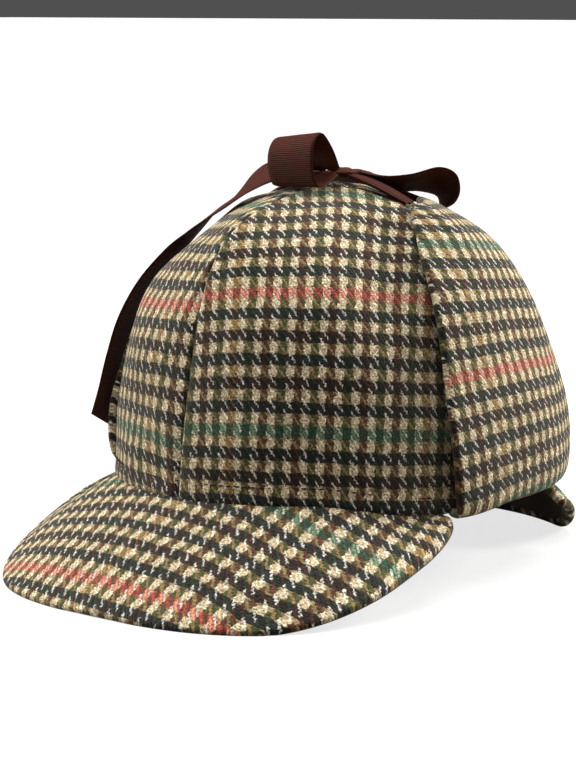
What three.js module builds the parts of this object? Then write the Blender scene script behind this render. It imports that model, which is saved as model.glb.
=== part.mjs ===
// A deerstalker hat of wool tweed: a crown of four gores, a front and a back peak with
// dark facings underneath, two ear flaps folded up, and the ribbon that ties them on top.
// Millimetres. The front is -Y, the wearer's left is +X, up is +Z, and z = 0 is the
// surface that the hat rests on.
import * as THREE from 'three';
import { mergeVertices } from 'three/addons/utils/BufferGeometryUtils.js';

// Head opening and crown
const rimHalfLength = 104;
const rimHalfWidth = 88;
const crownTop = 166;
const rimFrontHeight = 41;
const rimSideHeight = 33;
const rimFlapRise = 3;
const rimLevelTurn = 35;
const rimEarTurn = 8;
const wall = 3;
const seamGap = 0.3;
const pieceGap = 0.3;

// Peaks
const peakThickness = 4.2;
const peakTuck = 2;
const peakEdge = { start: 0.965, share: 0.45 };
const facingThickness = 0.8;
const facingSetback = { side: 0.04, edge: 0.07 };
const frontPeak = {
  turn: 73, spread: 89.2, halfWidth: 98.6, centreY: -41, depth: 113.2,
  squareness: 2.7, edgeHeight: 0.4, slope: 0.38, bend: 0.0016, bulge: 2.5,
};
const backPeak = {
  turn: 48, halfWidth: 79, centreY: 71, depth: 48.5,
  edgeHeight: 0, endHeight: 18, endTurn: 45, bulge: 5,
};

// Ear flaps and ribbon
const flapThickness = 4;
const flapBorder = { across: 0.02, tip: 0.985, share: 0.5 };
const rightFlapReach = 0.8;
const flareTurn = 0.3;
const ribbonThickness = 0.8;
const knotCentre = new THREE.Vector3(3, 4, 168.8);
const knotRadii = new THREE.Vector3(7.5, 6, 2.4);
const knotGrooves = { depth: 0.08, spacing: 7 };

// Crown sections from the rim to the top: how far up, and how far out at the seams
// and in the middle of a gore, as shares of the height and of the rim.
const crownSections = [
  { rise: 0, seam: 1, middle: 1 },
  { rise: 0.25, seam: 0.96, middle: 0.976 },
  { rise: 0.45, seam: 0.914, middle: 0.938 },
  { rise: 0.62, seam: 0.862, middle: 0.851 },
  { rise: 0.76, seam: 0.786, middle: 0.706 },
  { rise: 0.87, seam: 0.649, middle: 0.501 },
  { rise: 0.95, seam: 0.41, middle: 0.279 },
  { rise: 1, seam: 0, middle: 0 },
];

// Ear flap sections from the sewn edge to the tip: crown section beside it, drop below
// the rim, turn of its front and back edges, stand-off of the cloth at each edge, and how
// much further off the front edge stands on a flap that flares.
const flapSections = [
  { up: 0, drop: 2.4, front: 75, back: 126, frontOff: -1.4, backOff: -1.4, flare: 0 },
  { up: 0, drop: 2.9, front: 75, back: 126.5, frontOff: 2.2, backOff: 3, flare: 4 },
  { up: 0, drop: 0.9, front: 74.5, back: 127, frontOff: 5.4, backOff: 10, flare: 9 },
  { up: 0.3, drop: 0, front: 74, back: 128, frontOff: 6.4, backOff: 13, flare: 11 },
  { up: 1, drop: 0, front: 73, back: 130, frontOff: 6.4, backOff: 12.4, flare: 10.5 },
  { up: 2, drop: 0, front: 72.5, back: 130, frontOff: 6, backOff: 8, flare: 7 },
  { up: 3, drop: 0, front: 72, back: 130, frontOff: 6, backOff: 6.4, flare: 4 },
  { up: 4, drop: 0, front: 73, back: 130, frontOff: 5.2, backOff: 6.2, flare: 2 },
  { up: 4.7, drop: 0, front: 76, back: 131, frontOff: 4.2, backOff: 5.4, flare: 0.6 },
  { up: 5.2, drop: 0, front: 80, back: 131, frontOff: 3.4, backOff: 4.4, flare: 0 },
  { up: 5.4, drop: 0, front: 84, back: 124, frontOff: 2.9, backOff: 3.4, flare: 0 },
];

// Ribbon pieces: middle of the ribbon, its width there, and which way its width points,
// as a turn about Z from +X and a rise above the level, in degrees.
const frontLoopRows = [
  { x: 2, y: -3.2, z: 170.2, width: 11, turn: 0, rise: 0 },
  { x: 1, y: -9.2, z: 172.6, width: 22, turn: 0, rise: 3 },
  { x: 0.2, y: -14.8, z: 179.6, width: 24.6, turn: 0, rise: 6 },
  { x: 0.2, y: -22, z: 185.8, width: 24.6, turn: 0, rise: 7 },
  { x: 0.2, y: -27.5, z: 181.6, width: 24.6, turn: 0, rise: 6 },
  { x: 0.2, y: -28.5, z: 173.5, width: 24.6, turn: 0, rise: 4 },
  { x: 0.2, y: -25, z: 166.2, width: 24.6, turn: 0, rise: 3 },
  { x: 0.2, y: -18.5, z: 165.6, width: 24.6, turn: 0, rise: 1 },
  { x: 1, y: -11, z: 168, width: 21, turn: 0, rise: 0 },
  { x: 2, y: -3.4, z: 168.4, width: 11, turn: 0, rise: 0 },
];
const backLoopRows = [
  { x: 9.5, y: 8.6, z: 168.8, width: 8, turn: -42, rise: 10 },
  { x: 14.4, y: 18, z: 165.2, width: 14, turn: -38, rise: 20 },
  { x: 20, y: 29, z: 163.8, width: 20, turn: -34, rise: 27 },
  { x: 25.6, y: 39.6, z: 164.6, width: 25, turn: -32, rise: 30 },
  { x: 29.6, y: 46.4, z: 162.6, width: 25, turn: -32, rise: 27 },
  { x: 30, y: 47.6, z: 157, width: 25, turn: -32, rise: 20 },
  { x: 27, y: 44, z: 155.2, width: 22, turn: -34, rise: 14 },
  { x: 20.6, y: 34, z: 159.8, width: 17, turn: -38, rise: 10 },
  { x: 14.4, y: 22, z: 163.8, width: 13, turn: -42, rise: 6 },
  { x: 9.4, y: 10, z: 167.6, width: 8, turn: -42, rise: 4 },
];
const sideTailRows = [
  { x: -5.6, y: 2.4, z: 169.6, width: 8, turn: 100, rise: 6 },
  { x: -13, y: -6, z: 169.8, width: 15, turn: 110, rise: 16 },
  { x: -22, y: -15, z: 168.6, width: 20, turn: 116, rise: 27 },
  { x: -30.5, y: -18, z: 163.8, width: 24, turn: 116, rise: 22 },
  { x: -40.5, y: -20, z: 155, width: 25, turn: 114, rise: 11 },
  { x: -51.5, y: -21.5, z: 148.6, width: 25, turn: 114, rise: 9 },
  { x: -63.5, y: -22, z: 142.4, width: 25, turn: 114, rise: 4 },
  { x: -76, y: -22.5, z: 132.6, width: 25, turn: 115, rise: 0 },
  { x: -86, y: -26, z: 117.6, width: 25, turn: 115, rise: 0 },
  { x: -94, y: -30, z: 101, width: 25, turn: 115, rise: 0 },
  { x: -99, y: -32.6, z: 83.4, width: 25, turn: 115, rise: 0 },
  { x: -101, y: -35.4, z: 66.4, width: 25, turn: 115, rise: -10 },
  { x: -102, y: -38.4, z: 52.4, width: 26, turn: 115, rise: -23 },
];
const backTailRows = [
  { x: -1, y: 11.4, z: 168.4, width: 8, turn: 14, rise: 0 },
  { x: -6, y: 23, z: 168, width: 17, turn: 18, rise: 0 },
  { x: -15, y: 37, z: 164, width: 25, turn: 21, rise: 0 },
  { x: -24, y: 56, z: 155, width: 25, turn: 23, rise: 2 },
  { x: -32, y: 73.5, z: 141, width: 25, turn: 24, rise: 6 },
  { x: -38, y: 86, z: 123, width: 25, turn: 24, rise: 4 },
  { x: -41, y: 93, z: 105, width: 25, turn: 24, rise: 2 },
  { x: -43, y: 98, z: 88, width: 25, turn: 24, rise: 14 },
];
const leftTieRows = [
  { x: 10.9, y: 1.6, z: 168, width: 6, turn: 88, rise: 0 },
  { x: 18, y: 2.4, z: 166.8, width: 9, turn: 94, rise: 0 },
  { x: 26, y: 3.4, z: 164.6, width: 10, turn: 98, rise: 0 },
  { x: 34, y: 4.6, z: 162.2, width: 11, turn: 100, rise: 0 },
  { x: 41, y: 6, z: 160, width: 12, turn: 102, rise: -2 },
];
const rightTieRows = [
  { x: -4.7, y: 7, z: 168, width: 5, turn: 92, rise: 0 },
  { x: -12, y: 9.6, z: 167.4, width: 9, turn: 88, rise: 0 },
  { x: -22, y: 12, z: 165.2, width: 10, turn: 84, rise: 0 },
  { x: -33, y: 13.6, z: 160.8, width: 11, turn: 80, rise: 0 },
  { x: -43, y: 14.4, z: 155.6, width: 12, turn: 78, rise: -2 },
  { x: -51, y: 14.6, z: 150.2, width: 12, turn: 78, rise: -2 },
  { x: -58, y: 14.6, z: 144.8, width: 12, turn: 78, rise: -2 },
];

const tweedLook = { color: 0x8f7a52, roughness: 0.95, metalness: 0 };
const facingLook = { color: 0x241a18, roughness: 0.85, metalness: 0 };
const ribbonLook = { color: 0x4a2a22, roughness: 0.6, metalness: 0 };

const radians = THREE.MathUtils.degToRad;
const blend = THREE.MathUtils.lerp;

// Evenly spaced values from 0 to 1, with the two ends set in for a softened border.
function steps(count, border = 0) {
  const list = Array.from({ length: count + 1 }, (_, i) => blend(border, 1 - border, i / count));
  return border > 0 ? [0, ...list, 1] : list;
}

// A value from a table's column at a fractional row, on a smooth curve through the rows.
function column(rows, name, at) {
  const last = rows.length - 1;
  const place = THREE.MathUtils.clamp(at, 0, last);
  const row = Math.min(Math.floor(place), last - 1);
  const part = place - row;
  const here = rows[row][name];
  const next = rows[row + 1][name];
  const before = row > 0 ? rows[row - 1][name] : 2 * here - next;
  const after = row + 2 <= last ? rows[row + 2][name] : 2 * next - here;
  const slopeHere = (next - before) / 2;
  const slopeNext = (after - here) / 2;
  const square = part * part;
  const cube = square * part;
  return here * (2 * cube - 3 * square + 1) + slopeHere * (cube - 2 * square + part)
    + next * (3 * square - 2 * cube) + slopeNext * (cube - square);
}

// The crown's table carried over its top, so that the dome is level there.
const crownCurve = [
  ...crownSections,
  ...[crownSections[6]].map(({ rise, seam, middle }) => ({ rise, seam: -seam, middle: -middle })),
];

// Height of the rim at a turn from the front: higher over the forehead than at the sides.
function rimHeight(turn) {
  const fromFront = Math.abs(THREE.MathUtils.euclideanModulo(turn + 180, 360) - 180);
  const level = 1 - THREE.MathUtils.smoothstep(fromFront, rimLevelTurn, frontPeak.turn);
  const middle = (frontPeak.turn + 180 - backPeak.turn) / 2;
  const fromEar = Math.abs(fromFront - middle);
  const overEar = 1 - THREE.MathUtils.smoothstep(fromEar, rimEarTurn, middle - frontPeak.turn);
  return blend(rimSideHeight, rimFrontHeight, level) + rimFlapRise * overEar;
}

// A point on the crown at a turn from the front and a section of its table, set in by inset.
function crownPoint(turn, section, inset = 0) {
  const rise = column(crownCurve, 'rise', section);
  const seam = column(crownCurve, 'seam', section);
  const middle = column(crownCurve, 'middle', section);
  const angle = radians(turn);
  const out = blend(seam, middle, Math.abs(Math.sin(2 * angle)));
  return new THREE.Vector3(
    (rimHalfWidth - inset) * out * Math.sin(angle),
    -(rimHalfLength - inset) * out * Math.cos(angle),
    blend(rimHeight(turn), crownTop - inset, rise),
  );
}

// The level direction that points straight out of the crown at a turn.
function outward(turn) {
  const angle = radians(turn);
  const way = new THREE.Vector3(Math.sin(angle) / rimHalfWidth, -Math.cos(angle) / rimHalfLength, 0);
  return way.normalize();
}

// The direction square to the crown at a turn and a section.
function crownNormal(turn, section) {
  const step = 0.05;
  const way = outward(turn);
  const climb = crownPoint(turn, section + step).sub(crownPoint(turn, Math.max(section - step, 0)));
  return way.clone().multiplyScalar(climb.z).setZ(-climb.dot(way)).normalize();
}

// The direction square to a surface given by a function of two shares from 0 to 1.
function squareTo(surface, u, v) {
  const step = 0.002;
  const alongU = surface(Math.min(u + step, 1), v).sub(surface(Math.max(u - step, 0), v));
  const alongV = surface(u, Math.min(v + step, 1)).sub(surface(u, Math.max(v - step, 0)));
  return alongU.cross(alongV).normalize();
}

// A closed solid between two surfaces that are functions of the same two shares.
function slab(top, bottom, us, vs) {
  const positions = [];
  const indices = [];
  const rows = vs.length;
  const layer = us.length * rows;
  for (const surface of [top, bottom]) {
    for (const u of us) {
      for (const v of vs) {
        positions.push(...surface(u, v).toArray());
      }
    }
  }
  const quad = (a, b, c, d) => indices.push(a, b, c, a, c, d);
  for (let i = 0; i + 1 < us.length; i += 1) {
    for (let j = 0; j + 1 < rows; j += 1) {
      const a = i * rows + j;
      quad(a, a + rows, a + rows + 1, a + 1);
      quad(layer + a, layer + a + 1, layer + a + rows + 1, layer + a + rows);
    }
    const low = i * rows;
    const high = low + rows - 1;
    quad(low, layer + low, layer + low + rows, low + rows);
    quad(high, high + rows, layer + high + rows, layer + high);
  }
  for (let j = 0; j + 1 < rows; j += 1) {
    const end = (us.length - 1) * rows + j;
    quad(j, j + 1, layer + j + 1, layer + j);
    quad(end, layer + end, layer + end + 1, end + 1);
  }
  return closeUp(positions, indices);
}

// Merges shared points, drops faces with no area, and turns the faces outward.
function closeUp(positions, indices) {
  let geometry = new THREE.BufferGeometry();
  geometry.setAttribute('position', new THREE.Float32BufferAttribute(positions, 3));
  geometry.setIndex(indices);
  geometry = mergeVertices(geometry, 1e-3);
  const source = geometry.index.array;
  const places = geometry.attributes.position;
  const kept = [];
  let volume = 0;
  const corners = [new THREE.Vector3(), new THREE.Vector3(), new THREE.Vector3()];
  for (let i = 0; i < source.length; i += 3) {
    const face = [source[i], source[i + 1], source[i + 2]];
    if (new Set(face).size === 3) {
      kept.push(...face);
      corners.forEach((corner, k) => corner.fromBufferAttribute(places, face[k]));
      volume += corners[0].dot(corners[1].clone().cross(corners[2]));
    }
  }
  geometry.setIndex(volume < 0 ? kept.reverse() : kept);
  geometry.computeVertexNormals();
  return geometry;
}

// A sheet of some thickness about a middle surface, thinner along the borders named soft.
function sheet(middle, thickness, us, vs, soften = () => 1) {
  const side = (sign) => (u, v) => {
    const half = (sign * thickness * soften(u, v)) / 2;
    return middle(u, v).addScaledVector(squareTo(middle, u, v), half);
  };
  return slab(side(1), side(-1), us, vs);
}

// One gore of the crown, a quarter of the way round, moved out of the seams by half a gap.
function goreGeometry(sideX, sideY) {
  const quarter = { '1,-1': 0, '1,1': 90, '-1,1': 180, '-1,-1': 270 }[`${sideX},${sideY}`];
  const top = crownSections.length - 1;
  const surface = (inset) => (u, v) => crownPoint(quarter + 90 * u, v * top, inset);
  const geometry = slab(surface(0), surface(wall), steps(12), steps(14));
  return geometry.translate((sideX * seamGap) / 2, (sideY * seamGap) / 2, 0);
}

// Middle of a peak's board: from under the rim (v = 0) to its outer edge (v = 1).
function peakSurface(turnAt, edgeAt, bulge) {
  return (u, v) => {
    const turn = turnAt(u);
    const start = crownPoint(turn, 0, peakTuck);
    start.z -= pieceGap + peakThickness / 2;
    const edge = edgeAt(u);
    const point = start.clone().lerp(edge, v);
    point.z += bulge * Math.sin(Math.PI * v) * Math.sqrt(Math.max(Math.sin(Math.PI * u), 0));
    return point;
  };
}

// Outer edge of the front peak: a squared ellipse on a sheet that slopes and arches.
function frontEdge(u) {
  const peak = frontPeak;
  const angle = radians(blend(-peak.spread, peak.spread, u));
  const power = 2 / peak.squareness;
  const x = peak.halfWidth * Math.sign(angle) * Math.abs(Math.sin(angle)) ** power;
  const y = peak.centreY - peak.depth * Math.abs(Math.cos(angle)) ** power;
  const fromTip = y - (peak.centreY - peak.depth);
  const sheetHeight = peak.edgeHeight + peak.slope * fromTip - peak.bend * x * x;
  const height = Math.min(sheetHeight, rimSideHeight - pieceGap - peakThickness / 2);
  return new THREE.Vector3(x, y, Math.max(height, 0));
}

// Outer edge of the back peak: half an ellipse that lies on the surface behind the head.
function backEdge(u) {
  const peak = backPeak;
  const angle = radians(blend(90, -90, u));
  const lift = THREE.MathUtils.smoothstep(Math.abs(angle), radians(peak.endTurn), Math.PI / 2);
  return new THREE.Vector3(
    peak.halfWidth * Math.sin(angle),
    peak.centreY + peak.depth * Math.cos(angle),
    blend(peak.edgeHeight, peak.endHeight, lift),
  );
}

// Keeps a surface's points at or above the level on which the hat rests.
function restOnSurface(geometry) {
  const places = geometry.attributes.position;
  for (let i = 0; i < places.count; i += 1) {
    places.setZ(i, Math.max(places.getZ(i), 0));
  }
  return geometry;
}

// A peak's board and the facing under it, as two solids.
function peakGeometries(surface, count) {
  const soften = (u, v) => (v === 1 ? peakEdge.share : 1);
  const us = steps(count);
  const vs = [...steps(6).slice(0, -1), peakEdge.start, 1];
  const board = sheet(surface, peakThickness, us, vs, soften);
  const depth = peakThickness / 2 + pieceGap + facingThickness / 2;
  const down = (u, v) => {
    const alongU = blend(facingSetback.side, 1 - facingSetback.side, u);
    const alongV = blend(0, 1 - facingSetback.edge, v);
    const way = squareTo(surface, alongU, alongV);
    const sign = way.z > 0 ? -1 : 1;
    return surface(alongU, alongV).addScaledVector(way, sign * depth);
  };
  const facing = sheet(down, facingThickness, us, steps(5));
  return [restOnSurface(board), restOnSurface(facing)];
}

// Middle of an ear flap's cloth: across it from front to back (u) and up to its tip (v).
function flapSurface(side, reach, flare) {
  const last = flapSections.length - 1;
  return (u, v) => {
    const at = v * last;
    const read = (name) => column(flapSections, name, at);
    const stand = flare * read('flare');
    const turn = blend(read('front') - flareTurn * stand, read('back'), u);
    const off = blend(read('frontOff') + stand, read('backOff'), u);
    const section = Math.max(read('up'), 0) * reach;
    const point = crownPoint(turn, section).addScaledVector(crownNormal(turn, section), off);
    point.z -= Math.max(read('drop'), 0);
    return new THREE.Vector3(side * point.x, point.y, point.z);
  };
}

function flapGeometry(side, reach, flare) {
  const soften = (u, v) => (u === 0 || u === 1 || v === 1 ? flapBorder.share : 1);
  const vs = [...steps(18).slice(0, -1), flapBorder.tip, 1];
  const us = steps(12, flapBorder.across);
  return sheet(flapSurface(side, reach, flare), flapThickness, us, vs, soften);
}

// A length of ribbon through the rows of its table.
function ribbonGeometry(rows, perRow = 4) {
  const last = rows.length - 1;
  const middle = (u, v) => {
    const at = u * last;
    const read = (name) => column(rows, name, at);
    const turn = radians(read('turn'));
    const rise = radians(read('rise'));
    const across = new THREE.Vector3(
      Math.cos(rise) * Math.cos(turn), Math.cos(rise) * Math.sin(turn), Math.sin(rise),
    );
    const point = new THREE.Vector3(read('x'), read('y'), read('z'));
    return point.addScaledVector(across, (v - 0.5) * read('width'));
  };
  return sheet(middle, ribbonThickness, steps(last * perRow), [0, 1]);
}

// The pulled knot: a flattened lump with the turns of ribbon showing as shallow grooves.
function knotGeometry() {
  const geometry = new THREE.SphereGeometry(1, 20, 12);
  const places = geometry.attributes.position;
  for (let i = 0; i < places.count; i += 1) {
    const point = new THREE.Vector3().fromBufferAttribute(places, i);
    const groove = 0.5 + 0.5 * Math.cos(knotGrooves.spacing * point.x);
    point.multiplyScalar(1 - knotGrooves.depth * groove);
    point.multiply(knotRadii).add(knotCentre);
    places.setXYZ(i, point.x, point.y, point.z);
  }
  geometry.deleteAttribute('normal');
  geometry.deleteAttribute('uv');
  return closeUp(Array.from(places.array), Array.from(geometry.index.array));
}

const hat = new THREE.Group();

function addPiece(name, geometry, look) {
  const piece = new THREE.Mesh(geometry, new THREE.MeshStandardMaterial(look));
  piece.name = name;
  hat.add(piece);
}

for (const [end, sideY] of [['front', -1], ['back', 1]]) {
  for (const [side, sideX] of [['left', 1], ['right', -1]]) {
    addPiece(`crown_gore_${end}_${side}`, goreGeometry(sideX, sideY), tweedLook);
  }
}

const frontTurn = (u) => blend(-frontPeak.turn, frontPeak.turn, u);
const backTurn = (u) => blend(180 - backPeak.turn, 180 + backPeak.turn, u);
const peaks = {
  front: [peakSurface(frontTurn, frontEdge, frontPeak.bulge), 26],
  back: [peakSurface(backTurn, backEdge, backPeak.bulge), 20],
};
for (const [end, [surface, count]] of Object.entries(peaks)) {
  const [board, facing] = peakGeometries(surface, count);
  addPiece(`${end}_peak`, board, tweedLook);
  addPiece(`${end}_peak_facing`, facing, facingLook);
}

addPiece('left_ear_flap', flapGeometry(1, 1, 0), tweedLook);
addPiece('right_ear_flap', flapGeometry(-1, rightFlapReach, 1), tweedLook);

addPiece('bow_knot', knotGeometry(), ribbonLook);
addPiece('bow_front_loop', ribbonGeometry(frontLoopRows), ribbonLook);
addPiece('bow_back_loop', ribbonGeometry(backLoopRows), ribbonLook);
addPiece('left_tie', ribbonGeometry(leftTieRows), ribbonLook);
addPiece('right_tie', ribbonGeometry(rightTieRows), ribbonLook);
addPiece('side_tail', ribbonGeometry(sideTailRows, 3), ribbonLook);
addPiece('back_tail', ribbonGeometry(backTailRows, 3), ribbonLook);

// The origin is below the middle of the whole hat, on the surface it rests on.
const middle = new THREE.Box3().setFromObject(hat).getCenter(new THREE.Vector3());
for (const piece of hat.children) {
  piece.geometry.translate(-middle.x, -middle.y, 0);
}

export default hat;
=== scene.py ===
import math

import bpy
import numpy as np
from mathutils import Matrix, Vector


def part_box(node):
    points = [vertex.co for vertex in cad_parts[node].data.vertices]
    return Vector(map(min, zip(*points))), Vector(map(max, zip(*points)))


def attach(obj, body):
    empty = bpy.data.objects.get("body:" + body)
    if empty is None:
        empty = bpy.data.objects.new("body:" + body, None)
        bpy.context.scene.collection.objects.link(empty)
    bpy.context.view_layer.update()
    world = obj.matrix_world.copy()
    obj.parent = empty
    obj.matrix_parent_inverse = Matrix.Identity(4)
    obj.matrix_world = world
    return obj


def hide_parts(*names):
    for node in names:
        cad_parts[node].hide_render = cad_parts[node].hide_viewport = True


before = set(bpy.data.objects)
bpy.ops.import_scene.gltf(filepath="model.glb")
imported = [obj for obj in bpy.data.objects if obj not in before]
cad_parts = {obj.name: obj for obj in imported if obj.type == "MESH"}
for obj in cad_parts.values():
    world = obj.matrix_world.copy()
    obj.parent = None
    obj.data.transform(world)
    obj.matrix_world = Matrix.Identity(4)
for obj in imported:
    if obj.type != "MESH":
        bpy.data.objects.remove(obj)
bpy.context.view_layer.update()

# The crown stands a little off the middle of the hat. Lengths below are millimetres
# from the crown's own upright axis, and toMetres() places them.
goreNames = [name for name in sorted(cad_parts) if name.startswith("crown_gore")]
goreBoxes = [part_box(name) for name in goreNames]
crownLow = np.min([low for low, high in goreBoxes], axis=0)
crownHigh = np.max([high for low, high in goreBoxes], axis=0)
crownAxis = 1000 * (crownLow + crownHigh) / 2 * np.array([1, 1, 0])
insideCrown = np.array([0, 0, 80.0])    # a point in the hollow, to tell outwards from inwards


def toMetres(points):
    return (np.asarray(points, float) + crownAxis) * 0.001


# The camera stands where the photograph was taken from; its lens is in millimetres.
cameraView = {"place": (625.45, -820.86, 241.7), "aim": (-0.61217, 0.77443, -0.15969), "lens": 110.16}
photoCamera = bpy.data.objects.new("photoCamera", bpy.data.cameras.new("photoCamera"))
bpy.context.collection.objects.link(photoCamera)
photoCamera.data.lens = cameraView["lens"]
photoCamera.data.clip_start, photoCamera.data.clip_end = 0.05, 60
photoCamera.location = toMetres(cameraView["place"])
photoCamera.rotation_mode = "QUATERNION"
photoCamera.rotation_quaternion = Vector(cameraView["aim"]).to_track_quat("-Z", "Y")
bpy.context.scene.camera = photoCamera
print("camera placed")


def linearColour(code):
    # an sRGB hex colour as the linear one that a socket takes
    parts = [int(code[k:k + 2], 16) / 255 for k in (1, 3, 5)]
    parts = [c / 12.92 if c <= 0.04045 else ((c + 0.055) / 1.055) ** 2.4 for c in parts]
    return (*parts, 1.0)


def newMaterial(name):
    material = bpy.data.materials.new(name)
    material.use_nodes = True
    material.node_tree.nodes.clear()
    return material, material.node_tree


def addNode(tree, kind, settings=None, inputs=None):
    # settings are the node's own choices, or only the name of its operation; inputs are
    # numbers, colours, or what is linked in
    if isinstance(settings, str):
        settings = {"operation": settings}
    node = tree.nodes.new("ShaderNode" + kind)
    for name, value in (settings or {}).items():
        setattr(node, name, value)
    for name, value in (inputs or {}).items():
        socket = node.inputs[name]
        if isinstance(value, bpy.types.Node):
            tree.links.new(value.outputs[0], socket)
        elif isinstance(value, bpy.types.NodeSocket):
            tree.links.new(value, socket)
        else:
            socket.default_value = value
    return node


def finishMaterial(material, look):
    tree = material.node_tree
    surface = addNode(tree, "BsdfPrincipled", {}, look)
    addNode(tree, "OutputMaterial", {}, {"Surface": surface})
    return material


def fillRamp(node, stops, interpolation="LINEAR"):
    ramp = node.color_ramp
    ramp.interpolation = interpolation
    while len(ramp.elements) < len(stops):
        ramp.elements.new(1.0)
    for element, (place, colour) in zip(ramp.elements, stops):
        element.position = place
        element.color = linearColour(colour)


# Tweed: a 2/2 twill of woollen yarn, dark and light stripes four threads wide in both
# directions. Cream blobs stand in green and brown columns and thin grey streaks cross each
# dark row. Every yarn has two colours here: among light threads, then among dark ones, the
# second darker, partly from its dark neighbours and partly painted shade where it sinks between them.
tweedYarn = {
    "warpThread": 0.9, "weftThread": 1.3,    # how wide each thread lies, in mm
    # each yarn among light threads, then among dark ones with painted shade; creamWeft is darkened by
    # painted shade for lying below the warp
    "colours": {
        "cream": ("#ECDBBA", "#CFC8BE"), "creamWeft": ("#D8C49E", "#8C774F"),
        "mustard": ("#BC9560", "#6A4E3A"), "green": ("#4C512E", "#283A2A"),
        "brown": ("#5C382A", "#452823"), "orange": ("#E9987A", "#A85240"),
        "brightGreen": ("#6C8A68", "#2F4F3C"), "teal": ("#242C2C", "#171D1E"),
        "darkBrown": ("#3A2823", "#1F1817"),
    },
    "warpStripes": ["mustard", *["green", "brown"] * 5, "green"],
    "weftStripes": ["orange", *["teal", "darkBrown"] * 2, "teal",
                    "brightGreen", *["teal", "darkBrown"] * 2, "teal"],
    "stripe": 4.0,    # threads in a stripe
    # how far threads stray, in mm, for swells of about 9, 1.3 and 0.5 mm
    "stray": ((0.11, 1.6), (0.75, 1.5), (2.0, 0.9)),
    "lean": 0.3, "fullness": 0.6,    # a float's slant, and how full it is to its sides
    "coreFrom": 0.45, "coreTo": 0.9,    # how high on a warp float its own colour takes over
    "fibreScale": 1.3, "fibreFrom": 0.36, "fibreTo": 0.66, "fibreDark": 0.3, "fibreLight": 1.85,
    "tan": "#9C7650", "fleckScale": 0.6, "fleckFrom": 0.5, "fleckTo": 0.7, "fleckShare": 0.6,
    "ragged": 2.4, "wornFrom": 1.9, "wornTo": 2.6, "worn": 0.3,
    # painted shade in the gaps between floats: how deep among light and among dark threads, and how high on
    # a float it ends
    "gapShadeAmongLight": 0.6, "gapShadeAmongDark": 0.4, "gapShadeTo": 0.8,
    "sheen": 0.3, "sheenColour": "#D9CDB4", "sheenRoughness": 0.5, "roughness": 0.95, "specular": 0.1,
    "bump": 0.8, "fibreRelief": 0.7, "relief": 0.0004,    # the relief is in metres
}


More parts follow.
